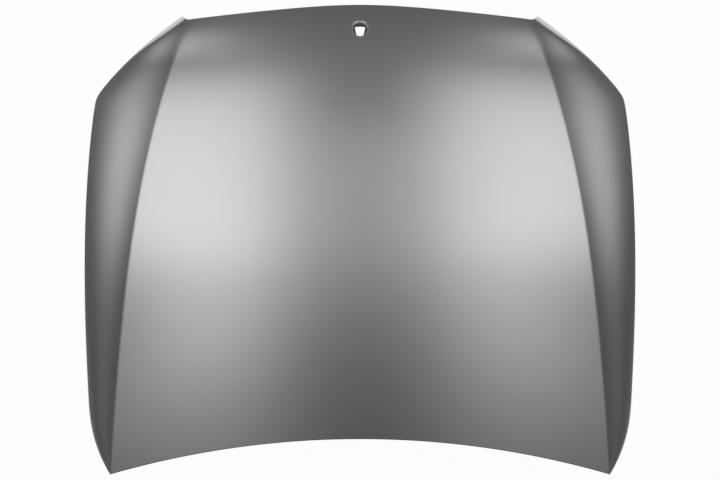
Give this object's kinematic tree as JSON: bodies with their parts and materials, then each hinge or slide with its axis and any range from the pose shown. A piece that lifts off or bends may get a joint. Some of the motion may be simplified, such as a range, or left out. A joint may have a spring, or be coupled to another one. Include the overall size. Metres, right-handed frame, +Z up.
{
  "type": "car bonnet",
  "caption": "Bare aluminium car bonnet with a hemmed outer skin, a ribbed inner panel, reinforcement plates and a round badge hole, lying outer face up.",
  "frame": {"origin": "centre of the bounding box in plan, on the surface the bonnet rests on", "axes": "+X across the car, the longest way; +Y towards the front of the car; +Z up, out of the outer face"},
  "size_m": [1.4602, 1.2514, 0.164],
  "materials": {
    "skin": "satin",
    "inner": "satin",
    "plates": "satin",
    "nuts": "satin",
    "mastic": "matte"
  },
  "bodies": {
    "root": {"outer_panel": "skin", "inner_panel": "inner", "hinge_reinforcement_right": "plates", "hinge_nut_right_1": "nuts", "hinge_nut_right_2": "nuts", "hinge_reinforcement_left": "plates", "hinge_nut_left_1": "nuts", "hinge_nut_left_2": "nuts", "striker_reinforcement": "plates", "striker_nut_1": "nuts", "striker_nut_2": "nuts", "striker_nut_3": "nuts", "striker_nut_4": "nuts", "stay_reinforcement_right": "plates", "stay_nut_right_1": "nuts", "stay_nut_right_2": "nuts", "stay_reinforcement_left": "plates", "stay_nut_left_1": "nuts", "stay_nut_left_2": "nuts", "mastic_right_1": "mastic", "mastic_right_2": "mastic", "mastic_right_3": "mastic", "mastic_right_4": "mastic", "mastic_right_5": "mastic", "mastic_right_6": "mastic", "mastic_left_1": "mastic", "mastic_left_2": "mastic", "mastic_left_3": "mastic", "mastic_left_4": "mastic", "mastic_left_5": "mastic", "mastic_left_6": "mastic", "mastic_middle_1": "mastic", "mastic_middle_2": "mastic", "mastic_middle_3": "mastic", "mastic_middle_4": "mastic", "mastic_middle_5": "mastic", "mastic_middle_6": "mastic", "mastic_middle_7": "mastic", "mastic_middle_8": "mastic"}
  },
  "joints": []
}
